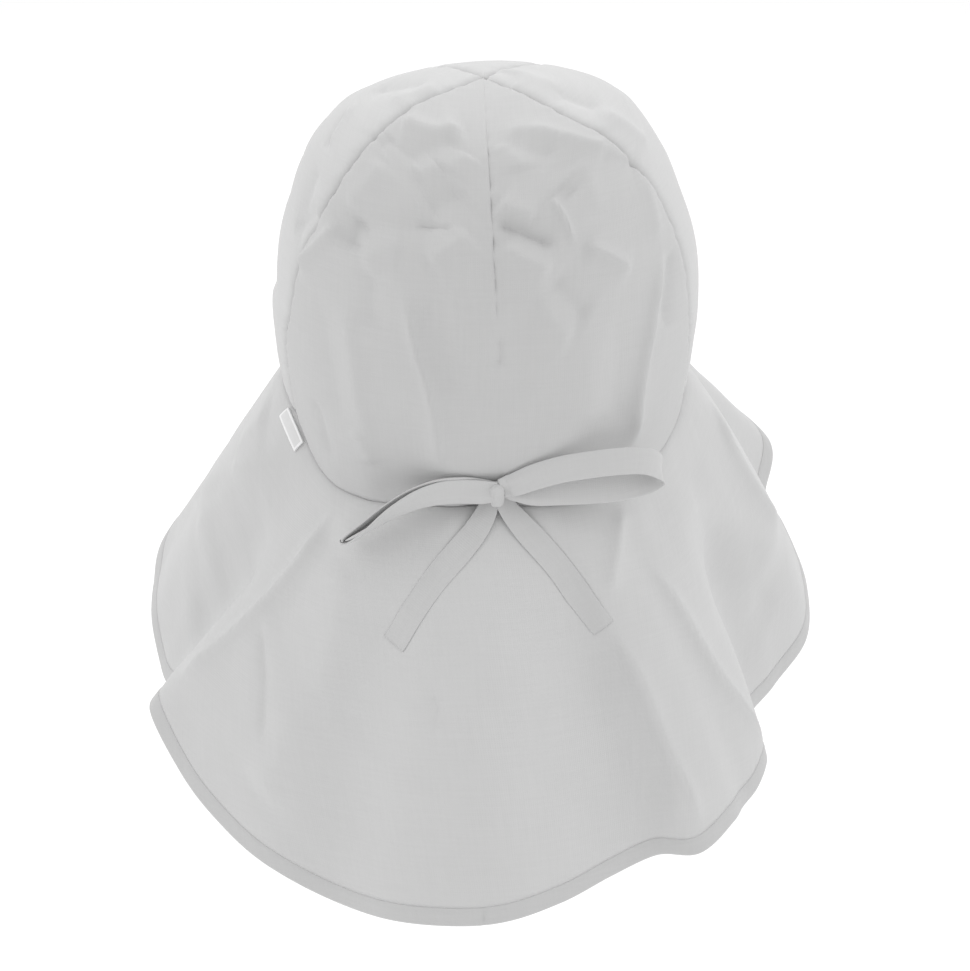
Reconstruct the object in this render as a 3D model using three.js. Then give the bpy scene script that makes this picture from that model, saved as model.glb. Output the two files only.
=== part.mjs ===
// A flap sun hat for a small child, in the form that it has on the head.
// Four gores and a back dart make the crown, a plain peak joins its front rim, and a wide flap
// hangs from the rest of the rim over the neck and shoulders. A bow at the nape gathers it.
// Millimetres, +Z up. The hat faces -Y and the wearer's left is +X. The origin is the point
// inside the top of the crown where the head carries the hat.
import * as THREE from "three";

// Cloth and sewing
const CLOTH = 1.2; // one layer of cotton
const SEAM_GAP = 0.3; // between two pieces that are sewn together
const HEM_WIDTH = 7; // the doubled band along the flap's edge
const HEM_THICKNESS = 1.8;

// Crown
const CROWN_WIDTH = 160; // at its widest level, ear to ear
const CROWN_BACK_DEPTH = 91; // from the axis to the back of the head
const CROWN_FRONT_DEPTH = 90; // from the axis to the brow
const DOME_HEIGHT = 80; // from the apex to the widest level
const DOME_POWER = 2.4; // over 2 gives a flatter top than an ellipse
const RIM_DROP = 141; // from the apex to the rim at the nape
const SIDE_TUCK = 0.035; // share of the girth that the crown loses down to the rim at the ears
const NAPE_TUCK = 0.19; // and at the nape
const GATHER_HEIGHT = 1.4; // of the ridges over the tie
const FULLNESS_DEPTH = 4; // how far the cloth stands out at the upper right
const TIP_RADIUS = 0.8; // where the gores' points stop, round the apex
const DART_SHARE = 0.6; // how far down the back the dart comes, as a share of the way to the rim
const DART_DEPTH = 1;
const DART_WIDTH = 9;

// Flap
const FLAP_DROP = 150; // from the rim down to the hem at the centre back
const FLAP_SPREAD = 45; // how far the hem stands outside the rim at the centre back
const FLAP_END_ANGLE = 132; // degrees from the back to where the flap ends at each temple

// Peak
const PEAK_DEPTH = 55;
const PEAK_THICKNESS = 2.4;
const PEAK_SLOPE_ANGLE = 24; // degrees below level
const PEAK_END_DEPTH = 7;
const PEAK_END_GAP = 0.8; // along the rim, from the peak to the flap

// Tie: a narrow sewn strap, bound in a bow at the nape
const TIE_WIDTH = 10;
const TIE_THICKNESS = 1.4;
const TIE_GAP = 0.4; // between the tie and what it lies on
const LOOP_RIGHT = 58; // how far each loop reaches
const LOOP_LEFT = 60;
const TAIL_RIGHT = 47; // how far each tail comes down the flap
const TAIL_LEFT = 52;
const KNOT_WIDTH = 9;
const KNOT_HEIGHT = 10;
const KNOT_DEPTH = 7;
const KNOT_ANGLE = -4; // degrees from the back: a little to the wearer's right
const KNOT_ABOVE_RIM = 7; // from the rim up the crown to the knot's middle

// Label, sewn in where the flap joins the crown, on the wearer's left
const LABEL_LENGTH = 17;
const LABEL_WIDTH = 7.5;
const LABEL_THICKNESS = 0.8;
const LABEL_ANGLE = 71; // degrees from the back

const rad = THREE.MathUtils.degToRad;
const degrees = THREE.MathUtils.radToDeg;
const clamp = THREE.MathUtils.clamp;
const lerp = THREE.MathUtils.lerp;
const smooth = THREE.MathUtils.smoothstep;
const vec = (x, y, z) => new THREE.Vector3(x, y, z);

// Catmull-Rom through a table's rows: the named column at a place counted in rows.
function along(rows, column, place) {
  const last = rows.length - 1;
  const i = clamp(Math.floor(place), 0, last - 1);
  const t = place - i;
  const value = (k) => {
    if (k < 0) return 2 * rows[0][column] - rows[1][column];
    if (k > last) return 2 * rows[last][column] - rows[last - 1][column];
    return rows[k][column];
  };
  const [a, b, c, d] = [value(i - 1), value(i), value(i + 1), value(i + 2)];
  return 0.5 * (2 * b + (c - a) * t + (2 * a - 5 * b + 4 * c - d) * t * t + (3 * b - a - 3 * c + d) * t ** 3);
}

// The place, counted in rows, where a column that always grows has the value.
function placeOf(rows, column, value) {
  const i = rows.findIndex((row, k) => k > 0 && row[column] >= value);
  const [a, b] = [rows[i - 1][column], rows[i][column]];
  return i - 1 + (value - a) / (b - a);
}

// How far the rim lies below the apex, as a share of RIM_DROP, by degrees from the back.
const RIM = [
  { angle: -180, drop: 0.78 },
  { angle: -130, drop: 0.8 },
  { angle: -95, drop: 0.81 },
  { angle: -84, drop: 0.845 },
  { angle: -70, drop: 0.915 },
  { angle: -57, drop: 0.97 },
  { angle: -45, drop: 1 },
  { angle: -25, drop: 1.01 },
  { angle: 0, drop: 1 },
  { angle: 25, drop: 1.01 },
  { angle: 45, drop: 1.01 },
  { angle: 57, drop: 0.97 },
  { angle: 68, drop: 0.875 },
  { angle: 80, drop: 0.825 },
  { angle: 95, drop: 0.81 },
  { angle: 130, drop: 0.8 },
  { angle: 180, drop: 0.78 },
];
function rimDrop(angle) {
  const turn = angle > 180 ? angle - 360 : angle;
  return RIM_DROP * along(RIM, "drop", placeOf(RIM, "angle", turn));
}

// Soft ridges that the tie gathers in the back of the crown. Angles are degrees from the back,
// where the ridge starts and at the rim. height is a share of GATHER_HEIGHT.
const GATHERS = [
  { top: 23, rim: 10, height: 1, spread: 5 },
  { top: 38, rim: 36, height: 0.8, spread: 6 },
  { top: 56, rim: 50, height: 0.5, spread: 6 },
  { top: -28, rim: -20, height: 0.6, spread: 6 },
  { top: -57, rim: -44, height: 1, spread: 5 },
];

// Where the crown stands fuller or flatter than its plain form: degrees from the back, level, a
// share of FULLNESS_DEPTH outwards, and the form's reach round the crown in degrees and down it in level.
const FULL_PLACES = [
  { angle: -100, level: 0.2, out: 1, wide: 48, high: 0.13 },
  { angle: -125, level: 0.16, out: 0.7, wide: 35, high: 0.08 },
  { angle: -95, level: 0.62, out: 0.45, wide: 40, high: 0.3 },
  { angle: 145, level: 0.14, out: -0.5, wide: 32, high: 0.08 },
];

// A point of the crown's middle surface. level runs from 0 at the apex to 1 at the rim, and
// DOME_SHARE of it lies above the widest level.
const DOME_SHARE = 0.62;
const GATHERS_START = 0.45; // the level where the ridges over the tie begin
function crownPoint(angle, level) {
  const a = rad(angle);
  let girth;
  let drop;
  if (level < DOME_SHARE) {
    const turn = (level / DOME_SHARE) * (Math.PI / 2);
    girth = Math.sin(turn) ** (2 / DOME_POWER);
    drop = DOME_HEIGHT * (1 - Math.cos(turn) ** (2 / DOME_POWER));
  } else {
    const low = (level - DOME_SHARE) / (1 - DOME_SHARE);
    const tuck = lerp(SIDE_TUCK, NAPE_TUCK, Math.max(Math.cos(a), 0) ** 2);
    girth = 1 - tuck * low * low;
    drop = lerp(DOME_HEIGHT, rimDrop(angle), low);
  }
  const half = (CROWN_WIDTH - CLOTH) / 2;
  const length = (Math.cos(a) > 0 ? CROWN_BACK_DEPTH : CROWN_FRONT_DEPTH) - CLOTH / 2;
  const p = vec(half * girth * Math.sin(a), length * girth * Math.cos(a), CLOTH / 2 - drop);
  const out = vec(Math.sin(a), Math.cos(a), 0);
  const fade = smooth(level, GATHERS_START, 1);
  for (const g of GATHERS) {
    const off = (angle - lerp(g.top, g.rim, fade)) / g.spread;
    p.addScaledVector(out, GATHER_HEIGHT * g.height * fade * Math.exp(-off * off));
  }
  for (const f of FULL_PLACES) {
    const round = (((angle - f.angle + 540) % 360) - 180) / f.wide;
    const down = (level - f.level) / f.high;
    p.addScaledVector(out, FULLNESS_DEPTH * f.out * Math.exp(-round * round - down * down));
  }
  const side = (Math.abs(p.x) / DART_WIDTH) * 2;
  if (Math.cos(a) > 0 && side < 1 && level < DART_SHARE) {
    const depth = DART_DEPTH * (1 - side) ** 2 * smooth(DART_SHARE - level, 0, DART_SHARE / 3);
    p.addScaledVector(out, -depth);
  }
  return p;
}

// Where the four seams lie, in degrees from the back, at even steps from the apex to the rim.
const SEAMS = [
  { back_left: 43, back_right: -40, front_left: 147, front_right: -146 },
  { back_left: 49, back_right: -47, front_left: 145, front_right: -145 },
  { back_left: 52, back_right: -61, front_left: 143, front_right: -143 },
  { back_left: 59, back_right: -69, front_left: 141, front_right: -141 },
  { back_left: 68, back_right: -73, front_left: 140, front_right: -140 },
  { back_left: 70, back_right: -76, front_left: 139, front_right: -139 },
  { back_left: 70, back_right: -80, front_left: 138, front_right: -138 },
];
const seam = (name) => (level) => along(SEAMS, name, level * (SEAMS.length - 1));

// A closed wall whose middle surface is point(u, v), with u from across and v from down, 0 to 1.
function wall(point, across, down, thickness) {
  const step = 1e-4;
  const positions = [];
  const cols = across.length;
  const rows = down.length;
  for (const side of [1, -1])
    for (const u of across)
      for (const v of down) {
        const p = point(u, v);
        const du = point(Math.min(u + step, 1), v).sub(point(Math.max(u - step, 0), v));
        const dv = point(u, Math.min(v + step, 1)).sub(point(u, Math.max(v - step, 0)));
        const n = du.cross(dv).normalize();
        p.addScaledVector(n, (side * thickness) / 2);
        positions.push(p.x, p.y, p.z);
      }
  const at = (side, i, j) => side * cols * rows + i * rows + j;
  const index = [];
  const quad = (a, b, c, d) => index.push(a, b, c, a, c, d);
  for (let i = 0; i < cols - 1; i++)
    for (let j = 0; j < rows - 1; j++) {
      quad(at(0, i, j), at(0, i + 1, j), at(0, i + 1, j + 1), at(0, i, j + 1));
      quad(at(1, i, j), at(1, i, j + 1), at(1, i + 1, j + 1), at(1, i + 1, j));
    }
  for (let i = 0; i < cols - 1; i++) {
    quad(at(0, i, 0), at(1, i, 0), at(1, i + 1, 0), at(0, i + 1, 0));
    quad(at(0, i, rows - 1), at(0, i + 1, rows - 1), at(1, i + 1, rows - 1), at(1, i, rows - 1));
  }
  for (let j = 0; j < rows - 1; j++) {
    quad(at(0, 0, j), at(0, 0, j + 1), at(1, 0, j + 1), at(1, 0, j));
    quad(at(0, cols - 1, j), at(1, cols - 1, j), at(1, cols - 1, j + 1), at(0, cols - 1, j + 1));
  }
  const geometry = new THREE.BufferGeometry();
  geometry.setAttribute("position", new THREE.Float32BufferAttribute(positions, 3));
  geometry.setIndex(index);
  return geometry;
}

const steps = (n) => Array.from({ length: n + 1 }, (_, i) => i / n);

// Materials
const cotton = new THREE.MeshStandardMaterial({ color: 0xcdcdcd, roughness: 0.85, metalness: 0 });
const hemCotton = new THREE.MeshStandardMaterial({ color: 0xc6c6c6, roughness: 0.85, metalness: 0 });
const tieCotton = new THREE.MeshStandardMaterial({ color: 0xcacaca, roughness: 0.8, metalness: 0 });
const woven = new THREE.MeshStandardMaterial({ color: 0xf0f0f0, roughness: 0.6, metalness: 0 });

const hat = new THREE.Group();
function add(name, geometry, material) {
  const mesh = new THREE.Mesh(geometry, material);
  mesh.name = name;
  hat.add(mesh);
  return mesh;
}

// Crown: four gores, each between two seams, with half of the seam's gap left on each side
const tipGirth = (2 * TIP_RADIUS) / CROWN_WIDTH;
const TIP_LEVEL = ((DOME_SHARE * 2) / Math.PI) * Math.asin(tipGirth ** (DOME_POWER / 2));
const GORE_LEVELS = [0, 0.03, 0.08, 0.14, 0.21, 0.29, 0.37, 0.45, 0.53, 0.6, 0.68, 0.76, 0.84, 0.92, 1];
function gore(from, to, columns) {
  const point = (u, v) => {
    const level = lerp(TIP_LEVEL, 1, v);
    const edges = [from(level), to(level)];
    const middle = crownPoint((edges[0] + edges[1]) / 2, level);
    const gap = degrees(SEAM_GAP / 2 / Math.hypot(middle.x, middle.y));
    return crownPoint(lerp(edges[0] + gap, edges[1] - gap, u), level);
  };
  return wall(point, steps(columns), GORE_LEVELS, CLOTH);
}
const frontRight = (level) => 360 + seam("front_right")(level);
add("crown_back", gore(seam("back_right"), seam("back_left"), 28), cotton);
add("crown_left", gore(seam("back_left"), seam("front_left"), 10), cotton);
add("crown_right", gore(seam("front_right"), seam("back_right"), 10), cotton);
add("crown_front", gore(seam("front_left"), frontRight, 12), cotton);

// Flap: one row for each fold, from the wearer's right temple round the back to the left one.
// rim is the row's angle at the rim and hem its angle at the hem, in degrees from the back.
// drop is how far the hem hangs below the rim, as a share of FLAP_DROP, and spread how far it
// stands outside the rim, as a share of FLAP_SPREAD. bulge is how far the cloth stands
// outside the straight line between them, as a share of that line.
const FOLDS = [
  { rim: -132, hem: -134, drop: 0.07, spread: 0.2, bulge: 0 },
  { rim: -125, hem: -128, drop: 0.25, spread: 0.85, bulge: 0 },
  { rim: -118, hem: -120, drop: 0.39, spread: 1.22, bulge: 0 },
  { rim: -111, hem: -114, drop: 0.48, spread: 1, bulge: 0 },
  { rim: -103, hem: -107, drop: 0.555, spread: 1.04, bulge: 0.02 },
  { rim: -95, hem: -99, drop: 0.65, spread: 1.13, bulge: 0.03 },
  { rim: -86, hem: -92, drop: 0.74, spread: 1.1, bulge: 0.06 },
  { rim: -76, hem: -85, drop: 0.78, spread: 0.85, bulge: 0.05 },
  { rim: -66, hem: -76, drop: 0.785, spread: 0.63, bulge: 0.02 },
  { rim: -53, hem: -64, drop: 0.775, spread: 0.99, bulge: 0.05 },
  { rim: -41, hem: -56, drop: 0.82, spread: 0.98, bulge: 0.06 },
  { rim: -31, hem: -49, drop: 0.83, spread: 1.1, bulge: 0.06 },
  { rim: -24, hem: -41, drop: 0.87, spread: 1.11, bulge: 0.05 },
  { rim: -19, hem: -36, drop: 0.885, spread: 0.79, bulge: 0.03 },
  { rim: -13, hem: -26, drop: 0.93, spread: 0.77, bulge: 0.04 },
  { rim: -7, hem: -14, drop: 0.97, spread: 0.89, bulge: 0.05 },
  { rim: 0, hem: 0, drop: 1, spread: 1, bulge: 0.06 },
  { rim: 10, hem: 16, drop: 1, spread: 0.99, bulge: 0.06 },
  { rim: 19, hem: 30, drop: 0.985, spread: 0.88, bulge: 0.06 },
  { rim: 28, hem: 43, drop: 0.915, spread: 1.03, bulge: 0.06 },
  { rim: 35, hem: 53, drop: 0.84, spread: 1.1, bulge: 0.06 },
  { rim: 41, hem: 62, drop: 0.765, spread: 1.19, bulge: 0.05 },
  { rim: 46, hem: 71, drop: 0.645, spread: 1.28, bulge: 0.02 },
  { rim: 56, hem: 79, drop: 0.68, spread: 1.02, bulge: 0.03 },
  { rim: 68, hem: 86, drop: 0.745, spread: 1.1, bulge: 0.05 },
  { rim: 80, hem: 92, drop: 0.7, spread: 1.19, bulge: 0.04 },
  { rim: 91, hem: 98, drop: 0.64, spread: 1.2, bulge: 0.02 },
  { rim: 101, hem: 105, drop: 0.57, spread: 1.19, bulge: 0 },
  { rim: 112, hem: 114, drop: 0.47, spread: 0.95, bulge: 0 },
  { rim: 122, hem: 124, drop: 0.3, spread: 0.6, bulge: 0 },
  { rim: 132, hem: 134, drop: 0.07, spread: 0.2, bulge: 0 },
];
const LAST_FOLD = FOLDS.length - 1;
const FOLD_STEPS = 3; // columns of faces from one row to the next
const END_SHARE = FLAP_END_ANGLE / FOLDS[LAST_FOLD].rim;

// The flap's line at a place counted in folds: its ends at the rim and the hem, and its bulge.
function flapLine(fold) {
  const column = (name) => along(FOLDS, name, fold);
  const top = crownPoint(END_SHARE * column("rim"), 1);
  top.z -= SEAM_GAP + CLOTH / 2;
  const radius = Math.hypot(top.x, top.y) + FLAP_SPREAD * column("spread");
  const hem = rad(END_SHARE * column("hem"));
  const foot = vec(radius * Math.sin(hem), radius * Math.cos(hem), top.z - FLAP_DROP * column("drop"));
  return { top, foot, length: top.distanceTo(foot), bulge: column("bulge") };
}

// A point of the flap's middle surface, with down from 0 at the rim to 1 at the hem.
function flapPoint(fold, down) {
  const { top, foot, length, bulge } = flapLine(fold);
  const chord = foot.clone().sub(top).divideScalar(length);
  const out = vec(top.x + foot.x, top.y + foot.y, 0).normalize();
  out.addScaledVector(chord, -out.dot(chord)).normalize();
  top.addScaledVector(chord, down * length);
  return top.addScaledVector(out, bulge * length * 4 * down * (1 - down));
}

// The band's upper edge, with half of the seam's gap to each side of it
const bandStart = (fold, side) => 1 - (HEM_WIDTH - (side * SEAM_GAP) / 2) / flapLine(fold).length;
const FLAP_COLUMNS = steps(LAST_FOLD * FOLD_STEPS);
const flapBody = (u, v) => flapPoint(u * LAST_FOLD, v * bandStart(u * LAST_FOLD, -1));
const hemBand = (u, v) => flapPoint(u * LAST_FOLD, lerp(bandStart(u * LAST_FOLD, 1), 1, v));
add("flap", wall(flapBody, FLAP_COLUMNS, steps(8), CLOTH), cotton);
add("hem_band", wall(hemBand, FLAP_COLUMNS, steps(1), HEM_THICKNESS), hemCotton);

// Peak: sewn to the front rim between the flap's two ends. It turns forwards at its sides, which
// keeps SIDE_FLARE of their sideways direction, and its middle dips below its straight slope.
const SIDE_FLARE = 0.75;
const PEAK_DIP = 0.25;
const PEAK_ROUNDNESS = 0.75; // the power that shapes its outer edge
const rimRadius = crownPoint(FLAP_END_ANGLE, 1).setZ(0).length();
const PEAK_HALF = 180 - FLAP_END_ANGLE - degrees(PEAK_END_GAP / rimRadius);
function peakPoint(u, v) {
  const turn = lerp(-1, 1, u);
  const angle = 180 + turn * PEAK_HALF;
  const depth = v * lerp(PEAK_END_DEPTH, PEAK_DEPTH, (1 - turn * turn) ** PEAK_ROUNDNESS);
  const out = vec(Math.sin(rad(angle)) * SIDE_FLARE, Math.cos(rad(angle)), 0).normalize();
  const p = crownPoint(angle, 1).addScaledVector(out, depth * Math.cos(rad(PEAK_SLOPE_ANGLE)));
  p.z -= SEAM_GAP + PEAK_THICKNESS / 2;
  p.z -= depth * Math.sin(rad(PEAK_SLOPE_ANGLE)) * (1 - PEAK_DIP + PEAK_DIP * v);
  return p;
}
add("peak", wall(peakPoint, steps(28), steps(5), PEAK_THICKNESS), cotton);

// Tie: the knot sits on the crown just above the rim, its depth along the cloth's normal
const knotTurn = rad(KNOT_ANGLE);
const knotLevel = 1 - (KNOT_ABOVE_RIM * (1 - DOME_SHARE)) / (RIM_DROP - DOME_HEIGHT);
const onCrown = (shift) => crownPoint(KNOT_ANGLE, knotLevel + shift);
const knotUp = onCrown(-0.01).sub(onCrown(0.01)).normalize();
const knotSide = vec(-Math.cos(knotTurn), Math.sin(knotTurn), 0);
const knotOut = knotSide.clone().cross(knotUp).normalize();
const knotPlace = onCrown(0).addScaledVector(knotOut, CLOTH / 2 + TIE_GAP + KNOT_DEPTH / 2);
const KNOT_SQUARENESS = 0.8; // under 1 makes the knot fuller than an egg

function knotGeometry() {
  const geometry = new THREE.SphereGeometry(1, 14, 10);
  const pos = geometry.attributes.position;
  const square = (value) => Math.sign(value) * Math.abs(value) ** KNOT_SQUARENESS;
  for (let i = 0; i < pos.count; i++) {
    const [x, y, z] = [pos.getX(i), pos.getY(i), pos.getZ(i)].map(square);
    pos.setXYZ(i, (x * KNOT_WIDTH) / 2, (y * KNOT_HEIGHT) / 2, (z * KNOT_DEPTH) / 2);
  }
  return geometry;
}
const knot = add("tie_knot", knotGeometry(), tieCotton);
knot.position.copy(knotPlace);
knot.quaternion.setFromRotationMatrix(new THREE.Matrix4().makeBasis(knotSide, knotUp, knotOut));

// The bow's two loops. Each row is a place on the line between a loop's two strands. out, from the
// knot's side, up and back, to the strap's inner edge, and part, from that line to a strand, are
// shares of the loop's reach. twist is how far the strap leans from upright, in degrees. width is
// a share of TIE_WIDTH.
const RIGHT_ROWS = [
  { out: 0.01, up: 0.014, back: -0.02, part: 0.024, twist: -20, width: 0.6 },
  { out: 0.16, up: 0.045, back: -0.015, part: 0.07, twist: -45, width: 0.9 },
  { out: 0.35, up: 0.07, back: -0.02, part: 0.1, twist: -55, width: 1 },
  { out: 0.57, up: 0.088, back: -0.05, part: 0.11, twist: -55, width: 1 },
  { out: 0.79, up: 0.095, back: -0.13, part: 0.09, twist: -52, width: 1 },
  { out: 0.92, up: 0.076, back: -0.185, part: 0.065, twist: -50, width: 1 },
];
const LEFT_ROWS = [
  { out: 0.01, up: 0.01, back: -0.01, part: 0.024, twist: 10, width: 0.6 },
  { out: 0.16, up: 0.042, back: -0.005, part: 0.035, twist: 35, width: 0.9 },
  { out: 0.32, up: 0.035, back: -0.02, part: 0.04, twist: 62, width: 1 },
  { out: 0.48, up: -0.05, back: -0.03, part: 0.045, twist: 74, width: 1 },
  { out: 0.68, up: -0.19, back: -0.05, part: 0.035, twist: 78, width: 1 },
  { out: 0.84, up: -0.33, back: -0.09, part: 0.02, twist: 78, width: 1 },
];
const STRAND_STEPS = 12;
const TIP_STEPS = 6; // round the loop's end

// The strap's centre line round a loop, with the strap's direction across it at each station.
// side is 1 on the wearer's left and -1 on the right.
function loopStations(rows, reach, side) {
  const column = (name, t) => along(rows, name, t * (rows.length - 1));
  const spine = (t) => {
    const out = KNOT_WIDTH / 2 + reach * column("out", t);
    const lean = (TIE_WIDTH / 2) * column("width", t) * Math.abs(Math.sin(rad(column("twist", t))));
    return vec(side * out, reach * column("back", t) + lean, reach * column("up", t)).add(knotPlace);
  };
  const station = (t, angle) => {
    const twist = rad(column("twist", t));
    const tangent = spine(Math.min(t + 0.01, 1)).sub(spine(Math.max(t - 0.01, 0))).normalize();
    const across = vec(0, Math.sin(twist), Math.cos(twist));
    across.addScaledVector(tangent, -across.dot(tangent)).normalize();
    const normal = across.clone().cross(tangent).multiplyScalar(side);
    const part = reach * column("part", t);
    const centre = spine(t).addScaledVector(normal, part * Math.cos(angle));
    centre.addScaledVector(tangent, part * Math.sin(angle));
    return { centre, across, width: TIE_WIDTH * column("width", t) };
  };
  return [
    ...steps(STRAND_STEPS).map((t) => station(t, 0)),
    ...steps(TIP_STEPS).slice(1, -1).map((t) => station(1, t * Math.PI)),
    ...steps(STRAND_STEPS).map((t) => station(1 - t, Math.PI)),
  ];
}

// A flat strap through its stations: four corners at each, joined and closed at both ends.
function strap(stations) {
  const positions = [];
  stations.forEach(({ centre, across, width }, i) => {
    const next = stations[Math.min(i + 1, stations.length - 1)].centre;
    const last = stations[Math.max(i - 1, 0)].centre;
    const normal = next.clone().sub(last).cross(across).normalize();
    for (const [w, n] of [[1, 1], [-1, 1], [-1, -1], [1, -1]]) {
      const p = centre.clone().addScaledVector(across, (w * width) / 2);
      p.addScaledVector(normal, (n * TIE_THICKNESS) / 2);
      positions.push(p.x, p.y, p.z);
    }
  });
  const index = [];
  const end = (stations.length - 1) * 4;
  for (let i = 0; i < end; i += 4)
    for (let k = 0; k < 4; k++) {
      const m = (k + 1) % 4;
      index.push(i + k, i + 4 + m, i + 4 + k, i + k, i + m, i + 4 + m);
    }
  index.push(0, 2, 1, 0, 3, 2, end, end + 1, end + 2, end, end + 2, end + 3);
  const geometry = new THREE.BufferGeometry();
  geometry.setAttribute("position", new THREE.Float32BufferAttribute(positions, 3));
  geometry.setIndex(index);
  return geometry;
}
add("tie_loop_right", strap(loopStations(RIGHT_ROWS, LOOP_RIGHT, -1)), tieCotton);
add("tie_loop_left", strap(loopStations(LEFT_ROWS, LOOP_LEFT, 1)), tieCotton);

// A point over the flap's outer face: from a place there it goes along the cloth by shift, square
// to the heading, and then lift off the cloth's middle surface.
function overFlap(fold, down, heading, shift, lift) {
  const step = 1e-3;
  const here = flapPoint(fold, down);
  const du = flapPoint(fold + step, down).sub(here).divideScalar(step);
  const dv = flapPoint(fold, down + step).sub(here).divideScalar(step);
  const out = du.clone().cross(dv).normalize();
  if (out.dot(vec(here.x, here.y, 0)) < 0) out.negate();
  const side = out.clone().cross(heading).normalize();
  const [a, b, c] = [du.dot(du), du.dot(dv), dv.dot(dv)];
  const [p, q] = [side.dot(du) * shift, side.dot(dv) * shift];
  const det = a * c - b * b;
  return flapPoint(fold + (c * p - b * q) / det, down + (a * q - b * p) / det).addScaledVector(out, lift);
}

// The tie's two tails lie on the flap, from just below the knot. fold is the place along the flap,
// down a share of the tail's way down, and lift, a share of KNOT_DEPTH, how far it stands off.
const RIGHT_TAIL = [
  { fold: 15, down: 0, lift: 0.3, width: 0.6 },
  { fold: 14.4, down: 0.1, lift: 0.12, width: 0.9 },
  { fold: 13.8, down: 0.26, lift: 0.03, width: 1 },
  { fold: 13.2, down: 0.48, lift: 0, width: 1 },
  { fold: 12.75, down: 0.74, lift: 0, width: 1 },
  { fold: 12.4, down: 1, lift: 0, width: 1 },
];
const LEFT_TAIL = [
  { fold: 15.9, down: 0, lift: 0.3, width: 0.6 },
  { fold: 16.15, down: 0.12, lift: 0.12, width: 0.9 },
  { fold: 16.65, down: 0.3, lift: 0.03, width: 1 },
  { fold: 17.1, down: 0.49, lift: 0, width: 1 },
  { fold: 17.5, down: 0.76, lift: 0, width: 1 },
  { fold: 17.8, down: 1, lift: 0, width: 1 },
];
const TAIL_START = 0.3; // from the flap's upper edge to the tails, as a share of KNOT_HEIGHT
function tail(rows, reach) {
  const column = (name, v) => along(rows, name, v * (rows.length - 1));
  const depth = (v) => TAIL_START * KNOT_HEIGHT + reach * column("down", v);
  const place = (v) => [column("fold", v), depth(v) / flapLine(column("fold", v)).length];
  const point = (u, v) => {
    const before = flapPoint(...place(Math.max(v - 0.01, 0)));
    const heading = flapPoint(...place(Math.min(v + 0.01, 1))).sub(before).normalize();
    const shift = (u - 0.5) * TIE_WIDTH * column("width", v);
    const lift = (CLOTH + TIE_THICKNESS) / 2 + TIE_GAP + KNOT_DEPTH * column("lift", v);
    return overFlap(...place(v), heading, shift, lift);
  };
  return wall(point, steps(4), steps(14), TIE_THICKNESS);
}
add("tie_tail_right", tail(RIGHT_TAIL, TAIL_RIGHT), tieCotton);
add("tie_tail_left", tail(LEFT_TAIL, TAIL_LEFT), tieCotton);

// Label: its long edge lies along the rim, and it hangs down over the flap
const labelFold = placeOf(FOLDS, "rim", LABEL_ANGLE / END_SHARE);
const foldWidth = flapPoint(labelFold + 0.5, 0).distanceTo(flapPoint(labelFold - 0.5, 0));
function labelPoint(u, v) {
  const fold = labelFold + ((u - 0.5) * LABEL_LENGTH) / foldWidth;
  const down = (SEAM_GAP + v * LABEL_WIDTH) / flapLine(fold).length;
  return overFlap(fold, down, vec(0, 0, -1), 0, (CLOTH + LABEL_THICKNESS) / 2 + TIE_GAP);
}
add("label", wall(labelPoint, steps(6), steps(2), LABEL_THICKNESS), woven);

export default hat;
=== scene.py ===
import math

import bpy
import numpy as np
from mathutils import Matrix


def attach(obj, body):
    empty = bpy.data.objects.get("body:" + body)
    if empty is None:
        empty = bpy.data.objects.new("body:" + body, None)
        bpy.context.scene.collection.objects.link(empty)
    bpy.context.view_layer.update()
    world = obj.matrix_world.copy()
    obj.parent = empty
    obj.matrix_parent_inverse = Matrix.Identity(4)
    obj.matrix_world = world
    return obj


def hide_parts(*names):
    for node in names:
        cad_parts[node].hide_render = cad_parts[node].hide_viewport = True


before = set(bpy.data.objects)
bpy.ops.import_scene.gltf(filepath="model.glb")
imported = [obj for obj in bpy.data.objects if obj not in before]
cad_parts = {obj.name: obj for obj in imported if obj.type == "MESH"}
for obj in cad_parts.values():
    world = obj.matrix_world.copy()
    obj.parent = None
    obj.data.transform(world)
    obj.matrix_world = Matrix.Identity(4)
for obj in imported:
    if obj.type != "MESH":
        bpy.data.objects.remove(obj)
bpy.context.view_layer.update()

# Crown. Four gores of one layer of fine cotton meet at the apex. They are sewn edge to edge with
# the seams turned inside, and a dart takes in the back. The cloth is soft: it stands full at the
# top, breaks where that turns down to the back, and gathers above the tie.
MM = 0.001
CLOTH = 1.2  # every size without a unit is in mm
SEAM_GAP = 0.4
CROWN_HALF_WIDTH = 80 - CLOTH / 2
CROWN_BACK_DEPTH = 91 - CLOTH / 2
CROWN_FRONT_DEPTH = 90 - CLOTH / 2
DOME_HEIGHT = 80
DOME_POWER = 2.4
DOME_SHARE = 0.62  # of the way from the apex to the rim
RIM_DROP = 141
SIDE_TUCK = 0.035
NAPE_TUCK = 0.19
APEX_LEVEL = 0.0016  # the gores' points stop short of the very apex
FLAT_RADIUS = 85  # of the flat cloth's girth at its widest
FLAT_LENGTH = 210  # of the flat cloth from the apex to the rim

# Degrees from the back, with the wearer's left positive, and the rim's level as a share of its drop
RIM = np.array([
    (-180, 0.78), (-130, 0.8), (-95, 0.81), (-84, 0.845), (-70, 0.915), (-57, 0.97), (-45, 1),
    (-25, 1.01), (0, 1), (25, 1.01), (45, 1.01), (57, 0.97), (68, 0.875), (80, 0.825), (95, 0.81),
    (130, 0.8), (180, 0.78),
])
# Angle where a gather starts, its angle at the rim, height in mm, spread in degrees
GATHERS = [(23, 10, 1.4, 5), (38, 36, 1.12, 6), (56, 50, 0.7, 6), (-28, -20, 0.84, 6), (-57, -44, 1.4, 5)]
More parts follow.
